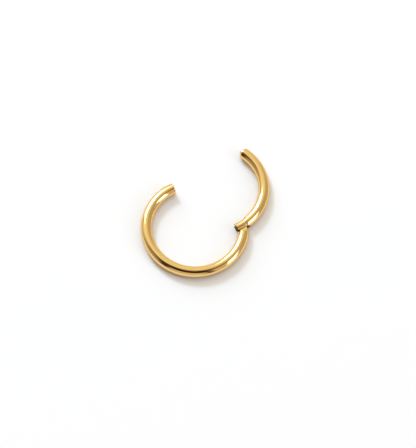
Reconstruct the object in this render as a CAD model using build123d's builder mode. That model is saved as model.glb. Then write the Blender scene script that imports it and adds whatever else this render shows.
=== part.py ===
import os
from math import asin, cos, degrees, radians, sin

from build123d import *

# A hinged segment ring, in millimetres and degrees. It lies on its side on the XY plane,
# centred on Z, and its hinge pin stands on +X. Angles run round the ring from the pin.

# Wire and ring
wire_diameter = 1.2
inside_diameter = 9.0
free_end_angle = 111.2
rim_radius = 0.06

# Opening: the segment turns outwards about the pin, clockwise seen from above
opening_at_rest = 60.0
closing_gap = 0.06

# Hinge: a tongue on the ring body turns in a slotted fork on the segment. The fork is slimmer
# than the wire. Its heel is square on the inner side and round about the pin on the outer
# side, and turns in a hollow of the same form in the ring body's shoulder.
fork_diameter = 1.00
pin_diameter = 0.36
pin_seat_clearance = 0.01
pin_running_clearance = 0.03
heel_reach = 0.90
heel_corner_radius = 0.12
heel_clearance = 0.06
tongue_width = 0.68
tongue_thickness = 0.42
tongue_face_clearance = 0.04
tongue_tip_clearance = 0.05
tongue_root_depth = 0.10

# Step from the fork up to the full wire, aslant beside the pin
step_distance = 0.36
step_slant = 17.0

# Click closure: a ball set into the segment's tip and a round recess in the free end. The tip
# swings in aslant of the wire, so the recess is wider than the ball by more than a running gap.
ball_diameter = 0.92
ball_inset = 0.08
ball_seat_clearance = 0.01
recess_clearance = 0.08

# Sizes that follow
wire_radius = wire_diameter / 2
ring_radius = (inside_diameter + wire_diameter) / 2
fork_radius = fork_diameter / 2
pin_radius = pin_diameter / 2
ball_radius = ball_diameter / 2
heel_bow = heel_reach**2 / (2 * ring_radius)
heel_side = fork_radius + heel_bow
hollow_reach = heel_reach + heel_clearance
slot_height = tongue_thickness + 2 * tongue_face_clearance
slot_floor_distance = tongue_width / 2 + tongue_tip_clearance
cutter_width = 2 * wire_diameter


def angle_at(distance):
    """Angle round the ring of a plane that stands a distance off the pin."""
    return degrees(asin(distance / ring_radius))


heel_angle = angle_at(heel_reach + wire_radius)
shoulder_angle = angle_at(wire_radius)
tongue_root_angle = angle_at(hollow_reach + tongue_root_depth)
slot_floor_angle = angle_at(slot_floor_distance)
step_angle = angle_at(step_distance)
tip_angle = free_end_angle - degrees(closing_gap / ring_radius)
ball_angle = tip_angle - degrees(ball_inset / ring_radius)

# The ring body's circle and, turned about the pin, the segment's circle
ring_centre = Vector(0, 0, 0)
pin_foot = Vector(ring_radius, 0, 0)
turn = radians(-opening_at_rest)
segment_centre = pin_foot - Vector(ring_radius * cos(turn), ring_radius * sin(turn), 0)


def plane_across(centre, angle):
    """Plane across the wire: its x is the distance from the centre and its y the height."""
    a = radians(angle)
    return Plane(origin=centre, x_dir=(cos(a), sin(a), 0), z_dir=(sin(a), -cos(a), 0))


def wire_point(centre, angle):
    """Point on the wire's centreline."""
    return plane_across(centre, angle).from_local_coords((ring_radius, wire_radius, 0))


def segment_angle(angle):
    """Direction, seen from the segment's centre, of an angle round the closed ring."""
    return angle - opening_at_rest


pin_centre = wire_point(ring_centre, 0)
free_end = wire_point(ring_centre, free_end_angle)
tip = wire_point(segment_centre, segment_angle(tip_angle))
ball_centre = wire_point(segment_centre, segment_angle(ball_angle))
closed_ball_centre = wire_point(ring_centre, ball_angle)
ring_axis = Axis(ring_centre, (0, 0, 1))
segment_axis = Axis(segment_centre, (0, 0, 1))

# Ring body: the long arc with its recess, its hollowed shoulder and its tongue
body_arc = 360 - free_end_angle - shoulder_angle
with BuildPart() as ring_body:
    with BuildSketch(plane_across(ring_centre, free_end_angle)):
        with Locations((ring_radius, wire_radius)):
            Circle(wire_radius)
    revolve(axis=ring_axis, revolution_arc=body_arc)
    end_faces = ring_body.faces().filter_by(GeomType.PLANE)
    fillet(end_faces.sort_by_distance(free_end)[0].edges(), rim_radius)
    with Locations(plane_across(closed_ball_centre, ball_angle)):
        Sphere(ball_radius + recess_clearance, mode=Mode.SUBTRACT)
    with BuildSketch(Plane(origin=pin_foot, x_dir=plane_across(pin_foot, -90).x_dir)):
        Circle(hollow_reach)
        Rectangle(hollow_reach, wire_diameter, align=(Align.MIN, Align.MAX))
    extrude(amount=wire_diameter, mode=Mode.SUBTRACT)
    with BuildSketch(plane_across(ring_centre, -tongue_root_angle)):
        with Locations((ring_radius, wire_radius)):
            Rectangle(tongue_width, tongue_thickness)
    revolve(axis=ring_axis, revolution_arc=tongue_root_angle)
    with Locations(pin_centre):
        Cylinder(tongue_width / 2, tongue_thickness)
        Cylinder(pin_radius + pin_running_clearance, tongue_thickness, mode=Mode.SUBTRACT)
ring_body.part.label = "ring_body"

# What is turned off the wire to leave the slimmer fork
segment_start = segment_angle(-heel_angle)
step_middle = wire_point(segment_centre, segment_angle(step_angle))
core_arc = 3 * heel_angle
with BuildPart() as fork_sleeve:
    with BuildSketch(plane_across(step_middle, segment_angle(step_angle) - step_slant)):
        Circle(wire_diameter)
    extrude(amount=ring_radius / 2)
    with BuildSketch(plane_across(segment_centre, segment_start)):
        with Locations((ring_radius, wire_radius)):
            Circle(fork_radius)
    revolve(axis=segment_axis, revolution_arc=core_arc, mode=Mode.SUBTRACT)

# The fork seen from above, its heel towards +X and its outer side towards +Y
with BuildSketch() as heel_form:
    with Locations((0, -heel_side)):
        Rectangle(2 * heel_reach, heel_side, align=(Align.CENTER, Align.MIN))
    fillet(heel_form.vertices().group_by(Axis.Y)[0], heel_corner_radius)
    Circle(heel_reach)

# Hinged segment: the short arc, its fork, heel, slot and ball seat
with BuildPart() as hinged_segment:
    with BuildSketch(plane_across(segment_centre, segment_start)):
        with Locations((ring_radius, wire_radius)):
            Circle(wire_radius)
    revolve(axis=segment_axis, revolution_arc=heel_angle + tip_angle)
    end_faces = hinged_segment.faces().filter_by(GeomType.PLANE)
    fillet(end_faces.sort_by_distance(tip)[0].edges(), rim_radius)
    add(fork_sleeve.part, mode=Mode.SUBTRACT)
    to_heel = plane_across(pin_foot, segment_angle(0) - 90).x_dir
    with BuildSketch(Plane(origin=pin_foot, x_dir=to_heel)):
        Rectangle(cutter_width, cutter_width, align=(Align.MIN, Align.CENTER))
        add(heel_form.sketch_local, mode=Mode.SUBTRACT)
    extrude(amount=wire_diameter, mode=Mode.SUBTRACT)
    with BuildSketch(plane_across(segment_centre, segment_start)):
        with Locations((ring_radius, wire_radius)):
            Rectangle(cutter_width, slot_height)
    revolve(axis=segment_axis, revolution_arc=heel_angle + slot_floor_angle, mode=Mode.SUBTRACT)
    with Locations(pin_centre):
        Cylinder(pin_radius + pin_seat_clearance, wire_diameter, mode=Mode.SUBTRACT)
    with Locations(plane_across(ball_centre, segment_angle(ball_angle))):
        Sphere(ball_radius + ball_seat_clearance, mode=Mode.SUBTRACT)
hinged_segment.part.label = "hinged_segment"

# Hinge pin: its ends follow the round of the fork
with BuildPart() as hinge_pin:
    with BuildSketch(plane_across(segment_centre, segment_start)):
        with Locations((ring_radius, wire_radius)):
            Circle(fork_radius)
    revolve(axis=segment_axis, revolution_arc=core_arc)
    with Locations(pin_centre):
        Cylinder(pin_radius, wire_diameter, mode=Mode.INTERSECT)
hinge_pin.part.label = "hinge_pin"

# Click ball: less than half of it stands out of the segment's tip
with BuildPart() as click_ball:
    with Locations(ball_centre):
        Sphere(ball_radius)
click_ball.part.label = "click_ball"

os.makedirs("parts", exist_ok=True)
for piece in (ring_body, hinged_segment, hinge_pin, click_ball):
    export_step(piece.part, f"parts/{piece.part.label}.step")
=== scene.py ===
from math import asin, cos, degrees, pi, radians, sin, tan

import bmesh
import bpy
import numpy as np
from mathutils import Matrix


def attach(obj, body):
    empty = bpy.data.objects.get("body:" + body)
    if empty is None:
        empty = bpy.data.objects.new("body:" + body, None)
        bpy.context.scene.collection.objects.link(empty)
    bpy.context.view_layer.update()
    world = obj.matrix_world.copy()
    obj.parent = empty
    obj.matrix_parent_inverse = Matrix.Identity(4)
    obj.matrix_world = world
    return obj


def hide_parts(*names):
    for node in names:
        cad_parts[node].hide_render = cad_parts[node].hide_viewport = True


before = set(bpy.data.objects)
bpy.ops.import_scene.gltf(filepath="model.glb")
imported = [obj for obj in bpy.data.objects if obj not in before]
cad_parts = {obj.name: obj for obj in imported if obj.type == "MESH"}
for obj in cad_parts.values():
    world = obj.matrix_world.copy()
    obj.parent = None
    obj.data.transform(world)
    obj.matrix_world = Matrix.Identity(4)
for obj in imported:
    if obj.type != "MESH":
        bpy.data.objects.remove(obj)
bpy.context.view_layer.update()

import openvdb
from mathutils import Matrix, Vector

# Hinged segment ring for a piercing, lying open on its side. Sizes are in millimetres and
# angles in degrees until a mesh is written; angles run round the ring from the hinge pin.
mm = 0.001

# The round wire that the ring body and the segment are bent from
wire = {
    "ringRadius": 5.1,        # centreline of the wire
    "radius": 0.5955,         # 1.2 mm wire, a few microns slim so it keeps inside the frame's facets
    "height": 0.6,            # centreline above what the ring lies on
    "sides": 96,
    "step": 0.08,             # from one ring of vertices to the next
    "weld": 1e-7,             # metres, closes the wrapped sheet's seam and poles
    "reach": 2.5,             # how far from a cut across the wire the cut still counts
}

# What the pieces of the hinge share
hinge = {
    "opening": 60.0,
    "forkRadius": 0.4975,     # the fork is slimmer than the wire, and the pin ends flush with it
    "edge": 0.03,             # broken edges
    "boreEdge": 0.018,
    "cell": 0.014,            # cells of the block that a part of the hinge is meshed in
    "margin": 4,              # cells that the block is wider than the wire on each side
}

# The two ends that close on each other with the ball between them
ends = {
    "freeEnd": 111.2,
    "closingGap": 0.06,
    "ballInset": 0.08,        # how far the ball's centre lies inside the tip
    "rim": 0.06,              # tumbled round of the cut ends
    "rimRows": 6,
    "faceRows": (0.4, 0.85),          # shares of the flat face, from the rim inwards
    "mouthRows": (0.01, 0.03, 0.06),  # shares of the round hollow, close behind its mouth
    "hollowRows": np.linspace(0.1, 1.0, 16),
}


def angleAt(distance):        # round the ring, of a cut that far from the pin
    return degrees(asin(distance / wire["ringRadius"]))


def polar(angle, radius=1.0):
    return np.array((radius * cos(radians(angle)), radius * sin(radians(angle))))


perDegree = radians(wire["ringRadius"])         # length along the wire
tipAngle = ends["freeEnd"] - degrees(ends["closingGap"] / wire["ringRadius"]) - hinge["opening"]
ballAngle = tipAngle - degrees(ends["ballInset"] / wire["ringRadius"])
ringCentre = np.zeros(2)
pinCentre = polar(0, wire["ringRadius"])
segmentCentre = pinCentre - polar(-hinge["opening"], wire["ringRadius"])
ballCentre = np.append(segmentCentre + polar(ballAngle, wire["ringRadius"]), wire["height"])
closedBall = np.append(polar(ballAngle + hinge["opening"], wire["ringRadius"]), wire["height"])


# Shapes are distances: negative inside the metal, positive outside, zero on its surface

def common(a, b, edge):       # what both hold, its outer edge rounded
    corner = np.hypot(np.maximum(a + edge, 0), np.maximum(b + edge, 0))
    return np.minimum(-edge, np.maximum(a, b)) + corner


def joined(a, b, fillet):     # both together, the inner corner filleted
    corner = np.hypot(np.maximum(fillet - a, 0), np.maximum(fillet - b, 0))
    return np.maximum(fillet, np.minimum(a, b)) - corner


def roundWire(p, centre, radius=wire["radius"]):
    out = np.hypot(p[:, 0] - centre[0], p[:, 1] - centre[1]) - wire["ringRadius"]
    return np.hypot(out, p[:, 2] - wire["height"]) - radius


def pastCut(p, centre, angle, side):    # beyond a cut across the wire; side 1 keeps larger angles
    x, y = p[:, 0] - centre[0], p[:, 1] - centre[1]
    a = radians(angle)
    cutX, cutY = polar(angle, wire["ringRadius"])
    near = np.hypot(x - cutX, y - cutY) < wire["reach"]
    return np.where(near, side * (x * sin(a) - y * cos(a)), -wire["reach"])


def aboutPin(p, radius):      # upright cylinder about the pin's axis
    return np.hypot(p[:, 0] - pinCentre[0], p[:, 1] - pinCentre[1]) - radius


def aboutPoint(p, point, radius):
    return np.linalg.norm(p - point, axis=1) - radius


def band(p, height):          # level band about the wire's mid-plane
    return np.abs(p[:, 2] - wire["height"]) - height / 2


def heelForm(p, heelwards, reach, halfWidth, corner):   # square inside, round about the pin outside
    fromPin = p[:, :2] - pinCentre
    back = fromPin @ heelwards
    side = fromPin @ np.array((-heelwards[1], heelwards[0]))
    bow = reach ** 2 / (2 * wire["ringRadius"])
    square = common(back - reach, -side - halfWidth - bow, corner)
    heel = np.where(side < 0, square, aboutPin(p, reach))
    return np.where(back > 0, heel, -reach)


def slopeOf(shape, p):
    nudge = 1e-4
    steps = np.eye(3) * nudge
    return np.stack([(shape(p + s) - shape(p - s)) / (2 * nudge) for s in steps], axis=1)


def settle(points, shape, rounds=4):    # draws points onto the surface; returns them and their normals
    for _ in range(rounds):
        slope = slopeOf(shape, points)
        points = points - slope * (shape(points) / (slope ** 2).sum(axis=1))[:, None]
    slope = slopeOf(shape, points)
    return points, slope / np.linalg.norm(slope, axis=1)[:, None]


# A link is a socket, a node, which gives its first output, or a plain value
def addNode(tree, kind, links=None, **settings):
    node = tree.nodes.new(kind)
    for name, value in settings.items():
        setattr(node, name, value)
    for name, value in (links or {}).items():
        if isinstance(value, bpy.types.Node):
            value = value.outputs[0]
        if isinstance(value, bpy.types.NodeSocket):
            tree.links.new(value, node.inputs[name])
        else:
            node.inputs[name].default_value = value
    return node


def linear(hexColour):        # sRGB hex to a linear colour
    channels = [int(hexColour[i:i + 2], 16) / 255 for i in (1, 3, 5)]
    return [c / 12.92 if c <= 0.04045 else ((c + 0.055) / 1.055) ** 2.4 for c in channels] + [1.0]


noiseSpan = (0.3, 0.7)        # most of a noise lies between these

# Steel with a gold-coloured vapour coating, polished before coating: a mirror gold with a
# slightly soft gloss, faint polishing lines along the wire and small drifts of tone
# The hinge's slot, the heel's end and the step also carry painted shade and painted dark reflections.

goldCoating = {
    "colour": "#F3D195",
    "deepColour": "#EFCA8A",
    "edgeTint": "#F6D6A0",    # the coating stays golden at a glancing angle
    "roughness": (0.07, 0.13),
    "lineSpacing": 0.03,      # mm between polishing lines, drawn coarser than real so they show
    "lineLength": 2.5,        # mm
    "lineHeight": 0.0004,     # mm
    "lineDetail": 2.0,
    "toneSize": 1.2,          # mm
    "toneDetail": 3.0,
    "paintedShadeColour": "#5A4E42",  # painted shade in the slot and painted dark reflections on the heel's end and the step
    "paintedShadeRoughness": 0.5,
}


def goldCoatedSteel():
    material = bpy.data.materials.new("vapourCoatedGoldSteel")
    material.use_nodes = True
    tree = material.node_tree
    gloss = tree.nodes["Principled BSDF"]
    gloss.inputs["Metallic"].default_value = 1.0
    gloss.inputs["Specular Tint"].default_value = linear(goldCoating["edgeTint"])
    wireSpace = addNode(tree, "ShaderNodeAttribute", attribute_name="straightWire").outputs["Vector"]
    tone = addNode(tree, "ShaderNodeTexNoise", {
        "Vector": wireSpace, "Scale": 1 / (goldCoating["toneSize"] * mm),
        "Detail": goldCoating["toneDetail"]})
    colour = addNode(tree, "ShaderNodeMix", {
        0: tone, 6: linear(goldCoating["colour"]), 7: linear(goldCoating["deepColour"])},
        data_type="RGBA")
    # Painted shade inside the slot, and painted dark reflections on the heel's end and the step, mixed
    # in as a dull dark brown
    paintedShade = addNode(tree, "ShaderNodeAttribute", attribute_name="paintedShade").outputs["Fac"]
    shadedColour = addNode(tree, "ShaderNodeMix", {
        0: paintedShade, 6: colour.outputs[2], 7: linear(goldCoating["paintedShadeColour"])}, data_type="RGBA")
    tree.links.new(shadedColour.outputs[2], gloss.inputs["Base Color"])
    across = 1 / (goldCoating["lineSpacing"] * mm)
    alongWire = 1 / (goldCoating["lineLength"] * mm)
    stretched = addNode(tree, "ShaderNodeMapping", {
        "Vector": wireSpace, "Scale": (alongWire, across, across)})
    lines = addNode(tree, "ShaderNodeTexNoise", {
        "Vector": stretched, "Scale": 1.0, "Detail": goldCoating["lineDetail"]})
    rough = addNode(tree, "ShaderNodeMapRange", {
        "Value": lines, "From Min": noiseSpan[0], "From Max": noiseSpan[1],
        "To Min": goldCoating["roughness"][0], "To Max": goldCoating["roughness"][1]})
    shadedRoughness = addNode(tree, "ShaderNodeMix", {0: paintedShade, 2: rough, 3: goldCoating["paintedShadeRoughness"]})
    tree.links.new(shadedRoughness.outputs[0], gloss.inputs["Roughness"])
    relief = addNode(tree, "ShaderNodeBump", {
        "Height": lines, "Strength": 1.0, "Distance": goldCoating["lineHeight"] * mm})
    tree.links.new(relief.outputs[0], gloss.inputs["Normal"])
    return material


# Hardened steel ball with the same coating, rubbed paler by the snap: a straw-gold mirror, a
# little cloudy

coatedBall = {
    "colour": "#F3DFB6",
    "wornColour": "#F5EBD2",
    "roughness": (0.08, 0.16),
    "cloudSize": 0.15,        # mm
    "cloudDetail": 2.0,
}


def coatedBallSteel():
    material = bpy.data.materials.new("vapourCoatedBall")
    material.use_nodes = True
    tree = material.node_tree
    gloss = tree.nodes["Principled BSDF"]
    gloss.inputs["Metallic"].default_value = 1.0
    place = addNode(tree, "ShaderNodeTexCoord").outputs["Object"]
    cloud = addNode(tree, "ShaderNodeTexNoise", {
        "Vector": place, "Scale": 1 / (coatedBall["cloudSize"] * mm),
        "Detail": coatedBall["cloudDetail"]})
    colour = addNode(tree, "ShaderNodeMix", {
        0: cloud, 6: linear(coatedBall["colour"]), 7: linear(coatedBall["wornColour"])},
        data_type="RGBA")
    tree.links.new(colour.outputs[2], gloss.inputs["Base Color"])
    rough = addNode(tree, "ShaderNodeMapRange", {
        "Value": cloud, "From Min": noiseSpan[0], "From Max": noiseSpan[1],
        "To Min": coatedBall["roughness"][0], "To Max": coatedBall["roughness"][1]})
    tree.links.new(rough.outputs[0], gloss.inputs["Roughness"])
    return material


gold = goldCoatedSteel()
paleGold = coatedBallSteel()
print("finishes made")


# Geometry Nodes: wraps a profile round the ring. Each profile point holds its distance along the
# wire, its distance from the centreline, and a straight step off the arc, all in metres.

def profileWrapTree():
    tree = bpy.data.node_groups.new("wrapProfileRoundRing", "GeometryNodeTree")
    tree.interface.new_socket("Geometry", in_out="OUTPUT", socket_type="NodeSocketGeometry")
    for name, kind in (
        ("Profile", "NodeSocketGeometry"),
        ("Ring Centre", "NodeSocketVector"),
        ("Ring Radius", "NodeSocketFloat"),
        ("Start Angle", "NodeSocketFloat"),
        ("Sides", "NodeSocketInt"),
        ("Finish", "NodeSocketMaterial"),
    ):
        tree.interface.new_socket(name, in_out="INPUT", socket_type=kind)
    given = addNode(tree, "NodeGroupInput").outputs

    # A flat sheet, with a row for each profile point and a column for each side of the wire
    rows = addNode(tree, "GeometryNodeAttributeDomainSize", {"Geometry": given["Profile"]})
    columns = addNode(tree, "ShaderNodeMath", {0: given["Sides"], 1: 1.0}, operation="ADD")
    sheet = addNode(tree, "GeometryNodeMeshGrid", {
        "Vertices X": rows.outputs["Point Count"], "Vertices Y": columns})
    index = addNode(tree, "GeometryNodeInputIndex")
    midIndex = addNode(tree, "ShaderNodeMath", {0: index, 1: 0.5}, operation="ADD")
    rowShare = addNode(tree, "ShaderNodeMath", {0: midIndex, 1: columns}, operation="DIVIDE")
    row = addNode(tree, "ShaderNodeMath", {0: rowShare}, operation="FLOOR")
    rowStart = addNode(tree, "ShaderNodeMath", {0: row, 1: columns}, operation="MULTIPLY")
    column = addNode(tree, "ShaderNodeMath", {0: index, 1: rowStart}, operation="SUBTRACT")
    point = addNode(tree, "GeometryNodeSampleIndex", {
        "Geometry": given["Profile"], "Value": addNode(tree, "GeometryNodeInputPosition"),
        "Index": row}, data_type="FLOAT_VECTOR", domain="POINT")
    along, radius, step = addNode(tree, "ShaderNodeSeparateXYZ", {0: point}).outputs

    # Round the wire, then round the ring
    turn = addNode(tree, "ShaderNodeMath", {0: column, 1: 2 * pi}, operation="MULTIPLY")
    wireAngle = addNode(tree, "ShaderNodeMath", {0: turn, 1: given["Sides"]}, operation="DIVIDE")
    across = addNode(tree, "ShaderNodeMath", {0: wireAngle}, operation="COSINE")
    up = addNode(tree, "ShaderNodeMath", {0: wireAngle}, operation="SINE")
    outwards = addNode(tree, "ShaderNodeMath", {
        0: radius, 1: across, 2: given["Ring Radius"]}, operation="MULTIPLY_ADD")
    upwards = addNode(tree, "ShaderNodeMath", {
        0: radius, 1: up, 2: wire["height"] * mm}, operation="MULTIPLY_ADD")
    unturned = addNode(tree, "ShaderNodeCombineXYZ", {"X": outwards, "Y": step, "Z": upwards})
    arc = addNode(tree, "ShaderNodeMath", {0: along, 1: given["Ring Radius"]}, operation="DIVIDE")
    ringAngle = addNode(tree, "ShaderNodeMath", {0: arc, 1: given["Start Angle"]}, operation="ADD")
    turned = addNode(tree, "ShaderNodeVectorRotate", {
        "Vector": unturned, "Angle": ringAngle}, rotation_type="Z_AXIS")
    placed = addNode(tree, "ShaderNodeVectorMath", {
        0: turned, 1: given["Ring Centre"]}, operation="ADD")
    shaped = addNode(tree, "GeometryNodeSetPosition", {
        "Geometry": sheet.outputs["Mesh"], "Position": placed})
    closed = addNode(tree, "GeometryNodeMergeByDistance", {
        "Geometry": shaped, "Distance": wire["weld"]})
    smooth = addNode(tree, "GeometryNodeSetShadeSmooth", {"Geometry": closed})
    real = addNode(tree, "GeometryNodeRealizeInstances", {"Geometry": smooth})
    finished = addNode(tree, "GeometryNodeSetMaterial", {
        "Geometry": real, "Material": given["Finish"]})
    addNode(tree, "NodeGroupOutput", {"Geometry": finished})
    return tree


def wrapProfile(name, profile, centre, startAngle, finish):    # returns a mesh in millimetres
    mesh = bpy.data.meshes.new(name)
    points = [[value * mm for value in row] for row in profile]
    mesh.from_pydata(points, [(i, i + 1) for i in range(len(points) - 1)], [])
    carrier = bpy.data.objects.new(name, mesh)
    bpy.context.scene.collection.objects.link(carrier)
    modifier = carrier.modifiers.new("wrap", "NODES")
    modifier.node_group = wrapTree
    values = {
        "Ring Centre": (centre[0] * mm, centre[1] * mm, 0.0),
        "Ring Radius": wire["ringRadius"] * mm,
        "Start Angle": radians(startAngle),
        "Sides": wire["sides"],
        "Finish": finish,
    }
    for item in wrapTree.interface.items_tree:
        if item.in_out == "INPUT" and item.name in values:
            modifier[item.identifier] = values[item.name]
    wrapped = bpy.data.meshes.new_from_object(
        carrier.evaluated_get(bpy.context.evaluated_depsgraph_get()))
    bpy.data.objects.remove(carrier)
    wrapped.transform(Matrix.Scale(1 / mm, 4))
    return wrapped


def wireRows(start, stop):    # plain wire, as profile points
    count = max(2, round(abs(stop - start) / wire["step"]))
    return [(start + (stop - start) * i / count, wire["radius"], 0.0) for i in range(count + 1)]


def endRows(end, outwards, hollow, inset):    # rim, flat face and the round hollow in it
    rim, radius = ends["rim"], wire["radius"]
    rows = []
    for i in range(1, ends["rimRows"] + 1):
        a = pi / 2 * i / ends["rimRows"]
        rows.append((end - outwards * rim * (1 - sin(a)), radius - rim * (1 - cos(a)), 0.0))
    flat = radius - rim
    mouth = asin(-inset / hollow)
    rows += [(end, flat + (hollow * cos(mouth) - flat) * share, 0.0) for share in ends["faceRows"]]
    for share in np.concatenate((ends["mouthRows"], ends["hollowRows"])):
        b = mouth + (pi / 2 - mouth) * share
        rows.append((end, hollow * cos(b), -outwards * (inset + hollow * sin(b))))
    rows[-1] = (end, 0.0, -outwards * (inset + hollow))
    return rows


# Parts of the hinge: the shape's distances are meshed in a block of cells in line with the wire

def meshBlock(shape, centre, angle, near, far, openEnd):    # returns a mesh in millimetres
    cell = hinge["cell"]
    across, alongWire = polar(angle), polar(angle + 90)
    origin = centre + across * wire["ringRadius"]
    half = wire["radius"] + hinge["margin"] * cell
    bend = max(near ** 2, far ** 2) / (2 * wire["ringRadius"])     # the wire curves off the block's axis
    axes = [np.arange(-half - bend, half, cell), np.arange(near, far, cell),
            np.arange(-half, half, cell)]
    u, v, w = np.meshgrid(*axes, indexing="ij")

    def place(u, v, w):
        return np.column_stack((
            origin[0] + u * across[0] + v * alongWire[0],
            origin[1] + u * across[1] + v * alongWire[1],
            wire["height"] + w))

    grid = openvdb.FloatGrid(2 * cell)
    grid.copyFromArray(shape(place(u.ravel(), v.ravel(), w.ravel())).reshape(u.shape))
    points, quads = grid.convertToQuads(isovalue=0.0)
    starts = np.array([axis[0] for axis in axes])
    local = starts + points * cell
    block = bmesh.new()
    corners = [block.verts.new(p) for p in place(*local.T)]
    for quad in quads:
        block.faces.new([corners[i] for i in quad])
    if openEnd:                # takes off the lid where the wire runs on
        edge = axes[1][0] if openEnd < 0 else axes[1][-1]
        lid = [c for c, v in zip(corners, local[:, 1]) if (v - edge) * openEnd > 0]
        bmesh.ops.delete(block, geom=lid, context="VERTS")
    mesh = bpy.data.meshes.new("hingeBlock")
    block.to_mesh(mesh)
    block.free()
    return mesh


def finishPiece(name, parts, shape, centre, finish, body, node, paintedShade=None):
    joint = bmesh.new()
    for part in parts:
        joint.from_mesh(part)
    if len(parts) > 1:
        bmesh.ops.bridge_loops(joint, edges=[edge for edge in joint.edges if edge.is_boundary])
    bmesh.ops.triangulate(joint, faces=[face for face in joint.faces if len(face.verts) > 4])
    bmesh.ops.recalc_face_normals(joint, faces=joint.faces)
    openEdges = sum(1 for edge in joint.edges if not edge.is_manifold)
    solid = bpy.data.meshes.new(name)
    joint.to_mesh(solid)
    joint.free()
    points = np.empty(len(solid.vertices) * 3)
    solid.vertices.foreach_get("co", points)
    points, normals = settle(points.reshape(-1, 3), shape)
    solid.vertices.foreach_set("co", (points * mm).ravel())
    solid.polygons.foreach_set("use_smooth", np.ones(len(solid.polygons), dtype=bool))
    solid.normals_split_custom_set_from_vertices(normals)
    # The wire straightened out: along it, out from it and up, for marks that follow its length
    x, y = points[:, 0] - centre[0], points[:, 1] - centre[1]
    straight = np.column_stack((
        np.arctan2(y, x) * wire["ringRadius"],
        np.hypot(x, y) - wire["ringRadius"],
        points[:, 2] - wire["height"])) * mm
    attribute = solid.attributes.new("straightWire", "FLOAT_VECTOR", "POINT")
    attribute.data.foreach_set("vector", straight.ravel())
    if paintedShade:                  # share of painted shade at each point
        # Painted shade and painted dark reflections: how far each point is darkened
        attribute = solid.attributes.new("paintedShade", "FLOAT", "POINT")
        attribute.data.foreach_set("value", paintedShade(points))
    solid.materials.clear()
    solid.materials.append(finish)
    piece = bpy.data.objects.new(name, solid)
    bpy.context.scene.collection.objects.link(piece)
    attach(piece, body)
    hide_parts(node)
    print(name, len(solid.polygons), "faces,", openEdges, "open edges")
    return piece


wrapTree = profileWrapTree()


# Ring body: the long arc, a recess in its free end, a hollowed shoulder and a flat tongue

ringBody = {
    "recess": 0.54,           # radius, wider than the ball
    "recessEdge": 0.02,
    "hollow": 0.96,           # of the shoulder, which the heel turns in
    "tongueWidth": 0.68,
    "tongueThickness": 0.42,
    "tongueHole": 0.21,       # radius, wider than the pin
    "shaftInBlock": 0.15,     # plain wire behind the hollow that the block takes in
    "blockLength": 1.65,
}


def ringBodyShape(p):
    shaft = roundWire(p, ringCentre)
    shaft = common(shaft, pastCut(p, ringCentre, ends["freeEnd"], 1), ends["rim"])
    shaft = common(shaft, -aboutPoint(p, closedBall, ringBody["recess"]), ringBody["recessEdge"])
    shaft = np.maximum(shaft, pastCut(p, ringCentre, 0, -1))
    hollow = heelForm(p, polar(-90), ringBody["hollow"], wire["reach"], 0.0)
    shaft = common(shaft, -np.maximum(hollow, aboutPin(p, wire["reach"])), hinge["edge"])
    fromRing = np.abs(np.hypot(p[:, 0], p[:, 1]) - wire["ringRadius"]) - ringBody["tongueWidth"] / 2
    flank = np.where(p[:, 1] < 0, fromRing, aboutPin(p, ringBody["tongueWidth"] / 2))
    tongue = common(flank, band(p, ringBody["tongueThickness"]), hinge["edge"])
    tongue = np.where(aboutPin(p, wire["reach"]) < 0, tongue, wire["reach"])
    whole = joined(shaft, tongue, hinge["edge"])
    return common(whole, -aboutPin(p, ringBody["tongueHole"]), hinge["boreEdge"])


blockAngle = -angleAt(ringBody["hollow"] + ringBody["shaftInBlock"])
bodyStart = blockAngle * perDegree - hinge["cell"]
bodyEnd = (ends["freeEnd"] - 360) * perDegree
bodyProfile = wireRows(bodyStart, bodyEnd + ends["rim"])
bodyProfile += endRows(bodyEnd, -1, ringBody["recess"], -ends["closingGap"] - ends["ballInset"])
bodyWire = wrapProfile("bodyWire", bodyProfile, ringCentre, 0, gold)
tongueBlock = meshBlock(ringBodyShape, ringCentre, blockAngle, 0, ringBody["blockLength"], -1)
finishPiece("ringBody", [bodyWire, tongueBlock], ringBodyShape, ringCentre, gold,
            "ring", "ring_body")


# Hinged segment: the short arc, stepping down to a slotted fork with a short heel

hingedSegment = {
    "stepDistance": 0.36,     # the step from the fork up to the full wire, aslant beside the pin
    "stepSlant": 17.0,
    "stepEdge": 0.02,
    "stepFillet": 0.02,
    "heel": 0.90,             # how far the heel reaches past the pin
    "heelCorner": 0.12,
    "slotHeight": 0.50,
    "slotFloor": 0.39,        # distance along the wire from the pin
    "pinHole": 0.19,          # radius
    "ballSeat": 0.47,         # radius
    "shaftInBlock": 0.3,      # plain wire past the step that the block takes in
    "blockLength": 1.85,
    "bridge": 0.002,          # from the block to the first ring of vertices
}

# Where shade is painted, as (none, full) distances: in the slot, on the heel's end and on the step
paintedShadeSpans = {
    "slotLip": (0.02, 0.01),          # off the slot's faces
    "slotDepth": (0.0, -0.1),         # in from the fork's round
    "heelEnd": (-0.04, -0.01),        # from the heel's end
    "stepFace": (0.03, 0.01),         # either side of the step
    "stepFoot": (0.01, 0.03),         # out from the fork's round
    "stepBrink": (0.095, 0.075),      # up to the full wire's round
}


def ramp(value, span):        # 0 at the span's start, 1 at its end
    return np.clip((value - span[0]) / (span[1] - span[0]), 0, 1)


def beforeStep(p):            # distance from the step towards the fork
    stepAngle = angleAt(hingedSegment["stepDistance"]) - hinge["opening"]
    stepMiddle = segmentCentre + polar(stepAngle, wire["ringRadius"])
    before = (stepMiddle - p[:, :2]) @ polar(stepAngle - hingedSegment["stepSlant"] + 90)
    return np.where(aboutPin(p, wire["reach"]) < 0, before, -wire["reach"])


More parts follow.
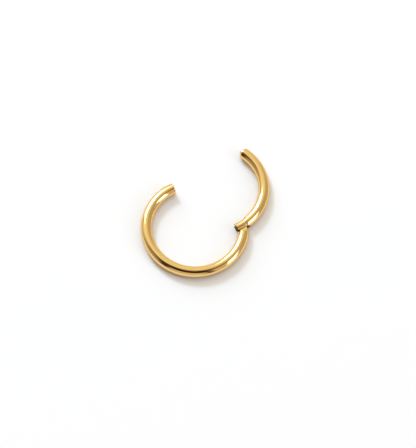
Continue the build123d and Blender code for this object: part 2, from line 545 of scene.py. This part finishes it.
def segmentShape(p):
    arm = roundWire(p, segmentCentre)
    arm = common(arm, pastCut(p, segmentCentre, tipAngle, -1), ends["rim"])
    arm = common(arm, -aboutPoint(p, ballCentre, hingedSegment["ballSeat"]), hinge["boreEdge"])
    arm = common(arm, beforeStep(p), hingedSegment["stepEdge"])
    fork = roundWire(p, segmentCentre, hinge["forkRadius"])
    fork = np.where(aboutPin(p, wire["reach"]) < 0, fork, wire["reach"])
    arm = joined(arm, fork, hingedSegment["stepFillet"])
    heel = heelForm(p, polar(-hinge["opening"] - 90), hingedSegment["heel"], hinge["forkRadius"],
                    hingedSegment["heelCorner"])
    arm = common(arm, heel, hinge["edge"])
    floorAngle = angleAt(hingedSegment["slotFloor"]) - hinge["opening"]
    pastFloor = pastCut(p, segmentCentre, floorAngle, 1)
    arm = common(arm, -np.maximum(band(p, hingedSegment["slotHeight"]), -pastFloor), hinge["edge"])
    return common(arm, -aboutPin(p, hingedSegment["pinHole"]), hinge["boreEdge"])


def paintedShadeShare(p):             # share of painted shade: in the slot, on the heel's end and on the step
    back = (p[:, :2] - pinCentre) @ polar(-hinge["opening"] - 90)
    fromFork = roundWire(p, segmentCentre, hinge["forkRadius"])
    inSlot = ramp(band(p, hingedSegment["slotHeight"]), paintedShadeSpans["slotLip"])
    inSlot *= ramp(fromFork, paintedShadeSpans["slotDepth"]) * (back > 0)
    onEnd = ramp(back - hingedSegment["heel"], paintedShadeSpans["heelEnd"])
    onStep = ramp(np.abs(beforeStep(p)), paintedShadeSpans["stepFace"])
    onStep *= ramp(fromFork, paintedShadeSpans["stepFoot"]) * ramp(fromFork, paintedShadeSpans["stepBrink"])
    return np.maximum(inSlot, np.maximum(onEnd, onStep)) * (aboutPin(p, wire["reach"]) < 0)


blockAngle = angleAt(hingedSegment["stepDistance"] + hingedSegment["shaftInBlock"])
segmentStart = blockAngle * perDegree + hingedSegment["bridge"]
segmentEnd = (tipAngle + hinge["opening"]) * perDegree
segmentProfile = wireRows(segmentStart, segmentEnd - ends["rim"])
segmentProfile += endRows(segmentEnd, 1, hingedSegment["ballSeat"], ends["ballInset"])
armWire = wrapProfile("armWire", segmentProfile, segmentCentre, -hinge["opening"], gold)
forkBlock = meshBlock(segmentShape, segmentCentre, blockAngle - hinge["opening"],
                      -hingedSegment["blockLength"], 0, 1)
finishPiece("hingedSegment", [armWire, forkBlock], segmentShape, segmentCentre, gold,
            "segment", "hinged_segment", paintedShadeShare)


# Hinge pin: through the fork and tongue, its ends following the fork's round

hingePin = {"radius": 0.18, "blockReach": 0.3}


def pinShape(p):
    fork = roundWire(p, segmentCentre, hinge["forkRadius"])
    return common(fork, aboutPin(p, hingePin["radius"]), hinge["boreEdge"])


pinBlock = meshBlock(pinShape, segmentCentre, -hinge["opening"],
                     -hingePin["blockReach"], hingePin["blockReach"], 0)
finishPiece("hingePin", [pinBlock], pinShape, segmentCentre, gold,
            "segment", "hinge_pin")


# Click ball: less than half of it stands out of the segment's tip

clickBall = {"radius": 0.459, "rows": 48}


def ballShape(p):
    return aboutPoint(p, ballCentre, clickBall["radius"])


ballProfile = []
for i in range(clickBall["rows"] + 1):
    turn = pi * i / clickBall["rows"]
    reach = clickBall["radius"] * cos(turn)
    ballProfile.append((segmentEnd - ends["ballInset"], clickBall["radius"] * sin(turn), -reach))
ballWrap = wrapProfile("ballWrap", ballProfile, segmentCentre, -hinge["opening"], paleGold)
finishPiece("clickBall", [ballWrap], ballShape, segmentCentre, paleGold,
            "segment", "click_ball")


# Camera: the photo's view of the ring, from far off with a long lens

photo = {
    "azimuth": -7.18, "elevation": 64.10, "roll": 2.35,
    "distance": 500.0,
    "focalPixels": 4771.0,
    "width": 416, "height": 448,
    "centre": (1.365, 0.682),     # mm, view centre right of and above the ring's origin
    "sensor": 36.0,
    "clip": (0.01, 10.0),         # metres
}


def viewAxes():
    a, e, r = (radians(photo[k]) for k in ("azimuth", "elevation", "roll"))
    back = Vector((sin(a) * cos(e), -cos(a) * cos(e), sin(e)))
    level = Vector((cos(a), sin(a), 0))
    upright = back.cross(level)
    right = level * cos(r) + upright * sin(r)
    return right, back.cross(right), back


def addCamera():
    right, up, back = viewAxes()
    lens = bpy.data.cameras.new("camera")
    lens.sensor_width = photo["sensor"]
    lens.lens = photo["focalPixels"] / max(photo["width"], photo["height"]) * photo["sensor"]
    lens.clip_start, lens.clip_end = photo["clip"]
    camera = bpy.data.objects.new("camera", lens)
    bpy.context.scene.collection.objects.link(camera)
    place = (back * photo["distance"] + right * photo["centre"][0] + up * photo["centre"][1]) * mm
    camera.matrix_world = Matrix.Translation(place) @ Matrix((right, up, back)).transposed().to_4x4()
    bpy.context.scene.camera = camera
    print("camera set")


# Floor: a matt white board

board = {"half": 1.5, "colour": "#EEEEF3", "roughness": 0.75, "specular": 0.2}    # half in metres


def addTable():
    mesh = bpy.data.meshes.new("table")
    half = board["half"]
    mesh.from_pydata([(-half, -half, 0), (half, -half, 0), (half, half, 0), (-half, half, 0)],
                     [], [(0, 1, 2, 3)])
    material = bpy.data.materials.new("mattWhiteBoard")
    material.use_nodes = True
    gloss = material.node_tree.nodes["Principled BSDF"]
    gloss.inputs["Base Color"].default_value = linear(board["colour"])
    gloss.inputs["Roughness"].default_value = board["roughness"]
    gloss.inputs["Specular IOR Level"].default_value = board["specular"]
    mesh.materials.append(material)
    table = bpy.data.objects.new("table", mesh)
    bpy.context.scene.collection.objects.link(table)
    print("floor laid")


# Lights by direction seen from the ring: azimuth 0 is away from the camera, 90 to its right

softboxes = [
    {"name": "keySoftbox", "azimuth": -35, "elevation": 31, "wide": 28, "tall": 38, "lean": -14,
     "brightness": 3.4, "colour": "#D8EAFF", "seenInGold": True},
    {"name": "keyBulb", "azimuth": -33, "elevation": 40, "wide": 10, "tall": 10, "lean": 0,
     "brightness": 38.0, "colour": "#D8EAFF", "seenInGold": True},
    {"name": "stripSoftbox", "azimuth": 109, "elevation": 31, "wide": 17, "tall": 42, "lean": 22,
     "brightness": 3.2, "colour": "#D8EAFF", "seenInGold": True},
    {"name": "overheadFill", "azimuth": 0, "elevation": 85, "wide": 60, "tall": 60, "lean": 0,
     "brightness": 0.92, "colour": "#F6F3F0", "seenInGold": False},
]
lightDistance = 1.0           # metres


def towards(azimuth, elevation):
    a, e = radians(azimuth - photo["azimuth"]), radians(elevation)
    return Vector((sin(a) * cos(e), cos(a) * cos(e), sin(e)))


def addSoftbox(box):
    lamp = bpy.data.lights.new(box["name"], "AREA")
    lamp.shape = "RECTANGLE"
    lamp.size = 2 * lightDistance * tan(radians(box["wide"] / 2))
    lamp.size_y = 2 * lightDistance * tan(radians(box["tall"] / 2))
    lamp.energy = box["brightness"] * pi * lamp.size * lamp.size_y
    lamp.color = linear(box["colour"])[:3]
    holder = bpy.data.objects.new(box["name"], lamp)
    bpy.context.scene.collection.objects.link(holder)
    holder.visible_glossy = box["seenInGold"]
    out = towards(box["azimuth"], box["elevation"])
    holder.location = out * lightDistance
    turned = out.to_track_quat("Z", "Y").to_matrix() @ Matrix.Rotation(radians(-box["lean"]), 3, "Z")
    holder.rotation_euler = turned.to_euler()
    print(box["name"], "lit")


# The room round it: warm pale walls by azimuth, then panels laid over them

room = {
    "walls": [(-180, 0.76), (-150, 0.66), (-110, 0.45), (-90, 0.46), (-72, 0.86), (-55, 1.03),
              (-10, 0.98), (10, 0.97), (30, 0.78), (50, 0.60), (75, 0.55), (130, 0.66), (165, 0.72)],
    "dimColour": "#FFE2C6",
    "litColour": "#FFF9D8",
    "soft": 6.0,              # degrees over which a panel's edge fades
}
panels = [
    {"name": "ceiling", "azimuth": 0, "wide": 400, "elevation": 90, "tall": 22, "brightness": 0.58},
    {"name": "darkUpperRight", "azimuth": 128, "wide": 60, "elevation": 74, "tall": 32,
     "brightness": 0.17},
    {"name": "darkBehindCamera", "azimuth": -159, "wide": 110, "elevation": 61, "tall": 42,
     "brightness": 0.03},
    {"name": "gapLeftOfCamera", "azimuth": -130, "wide": 18, "elevation": 32, "tall": 48,
     "brightness": 0.06},
    {"name": "gapRightOfCamera", "azimuth": 152, "wide": 12, "elevation": 26, "tall": 44,
     "brightness": 0.14},
    {"name": "darkLeft", "azimuth": -93, "wide": 20, "elevation": 51, "tall": 22, "brightness": 0.26},
    {"name": "lowLeft", "azimuth": -68, "wide": 40, "elevation": 0, "tall": 34, "brightness": 0.46},
    {"name": "lowFar", "azimuth": 0, "wide": 110, "elevation": 0, "tall": 22, "brightness": 0.68},
]


def within(tree, value, middle, width):       # 1 inside a range of degrees, fading at its ends
    off = addNode(tree, "ShaderNodeMath", {0: value, 1: middle}, operation="SUBTRACT")
    nearest = addNode(tree, "ShaderNodeMath", {0: off, 1: 180.0, 2: -180.0}, operation="WRAP")
    distance = addNode(tree, "ShaderNodeMath", {0: nearest}, operation="ABSOLUTE")
    return addNode(tree, "ShaderNodeMapRange", {
        "Value": distance, "From Min": width / 2 - room["soft"], "From Max": width / 2 + room["soft"],
        "To Min": 1.0, "To Max": 0.0}, interpolation_type="SMOOTHSTEP")


def addRoom():
    world = bpy.data.worlds.new("room")
    bpy.context.scene.world = world
    world.use_nodes = True
    tree = world.node_tree
    light = tree.nodes["Background"]
    sky = addNode(tree, "ShaderNodeTexCoord").outputs["Generated"]
    turned = addNode(tree, "ShaderNodeVectorRotate", {
        "Vector": sky, "Angle": -radians(photo["azimuth"])}, rotation_type="Z_AXIS")
    x, y, z = addNode(tree, "ShaderNodeSeparateXYZ", {0: turned}).outputs
    heading = addNode(tree, "ShaderNodeMath", {0: x, 1: y}, operation="ARCTAN2")
    azimuth = addNode(tree, "ShaderNodeMath", {0: heading, 1: 180 / pi}, operation="MULTIPLY")
    rise = addNode(tree, "ShaderNodeMath", {0: z}, operation="ARCSINE")
    elevation = addNode(tree, "ShaderNodeMath", {0: rise, 1: 180 / pi}, operation="MULTIPLY")
    roundShare = addNode(tree, "ShaderNodeMath", {
        0: azimuth, 1: 1 / 360, 2: 0.5}, operation="MULTIPLY_ADD")
    walls = addNode(tree, "ShaderNodeFloatCurve", {"Value": roundShare})
    curve = walls.mapping.curves[0]
    stops = room["walls"] + [(180, room["walls"][0][1])]
    while len(curve.points) < len(stops):
        curve.points.new(0.5, 0.5)
    for point, (degree, brightness) in zip(curve.points, stops):
        point.location = ((degree + 180) / 360, brightness)
    walls.mapping.update()
    brightness = walls
    for panel in panels:
        cover = addNode(tree, "ShaderNodeMath", {
            0: within(tree, azimuth, panel["azimuth"], panel["wide"]),
            1: within(tree, elevation, panel["elevation"], panel["tall"])}, operation="MULTIPLY")
        brightness = addNode(tree, "ShaderNodeMix", {
            0: cover, 2: brightness, 3: panel["brightness"]})
    tint = addNode(tree, "ShaderNodeMix", {
        0: brightness, 6: linear(room["dimColour"]), 7: linear(room["litColour"])}, data_type="RGBA")
    tree.links.new(tint.outputs[2], light.inputs["Color"])
    tree.links.new(brightness.outputs[0], light.inputs["Strength"])
    print("room lit, with", len(panels), "panels")


addCamera()
addTable()
for box in softboxes:
    addSoftbox(box)
addRoom()
bpy.context.scene.view_settings.view_transform = "Standard"
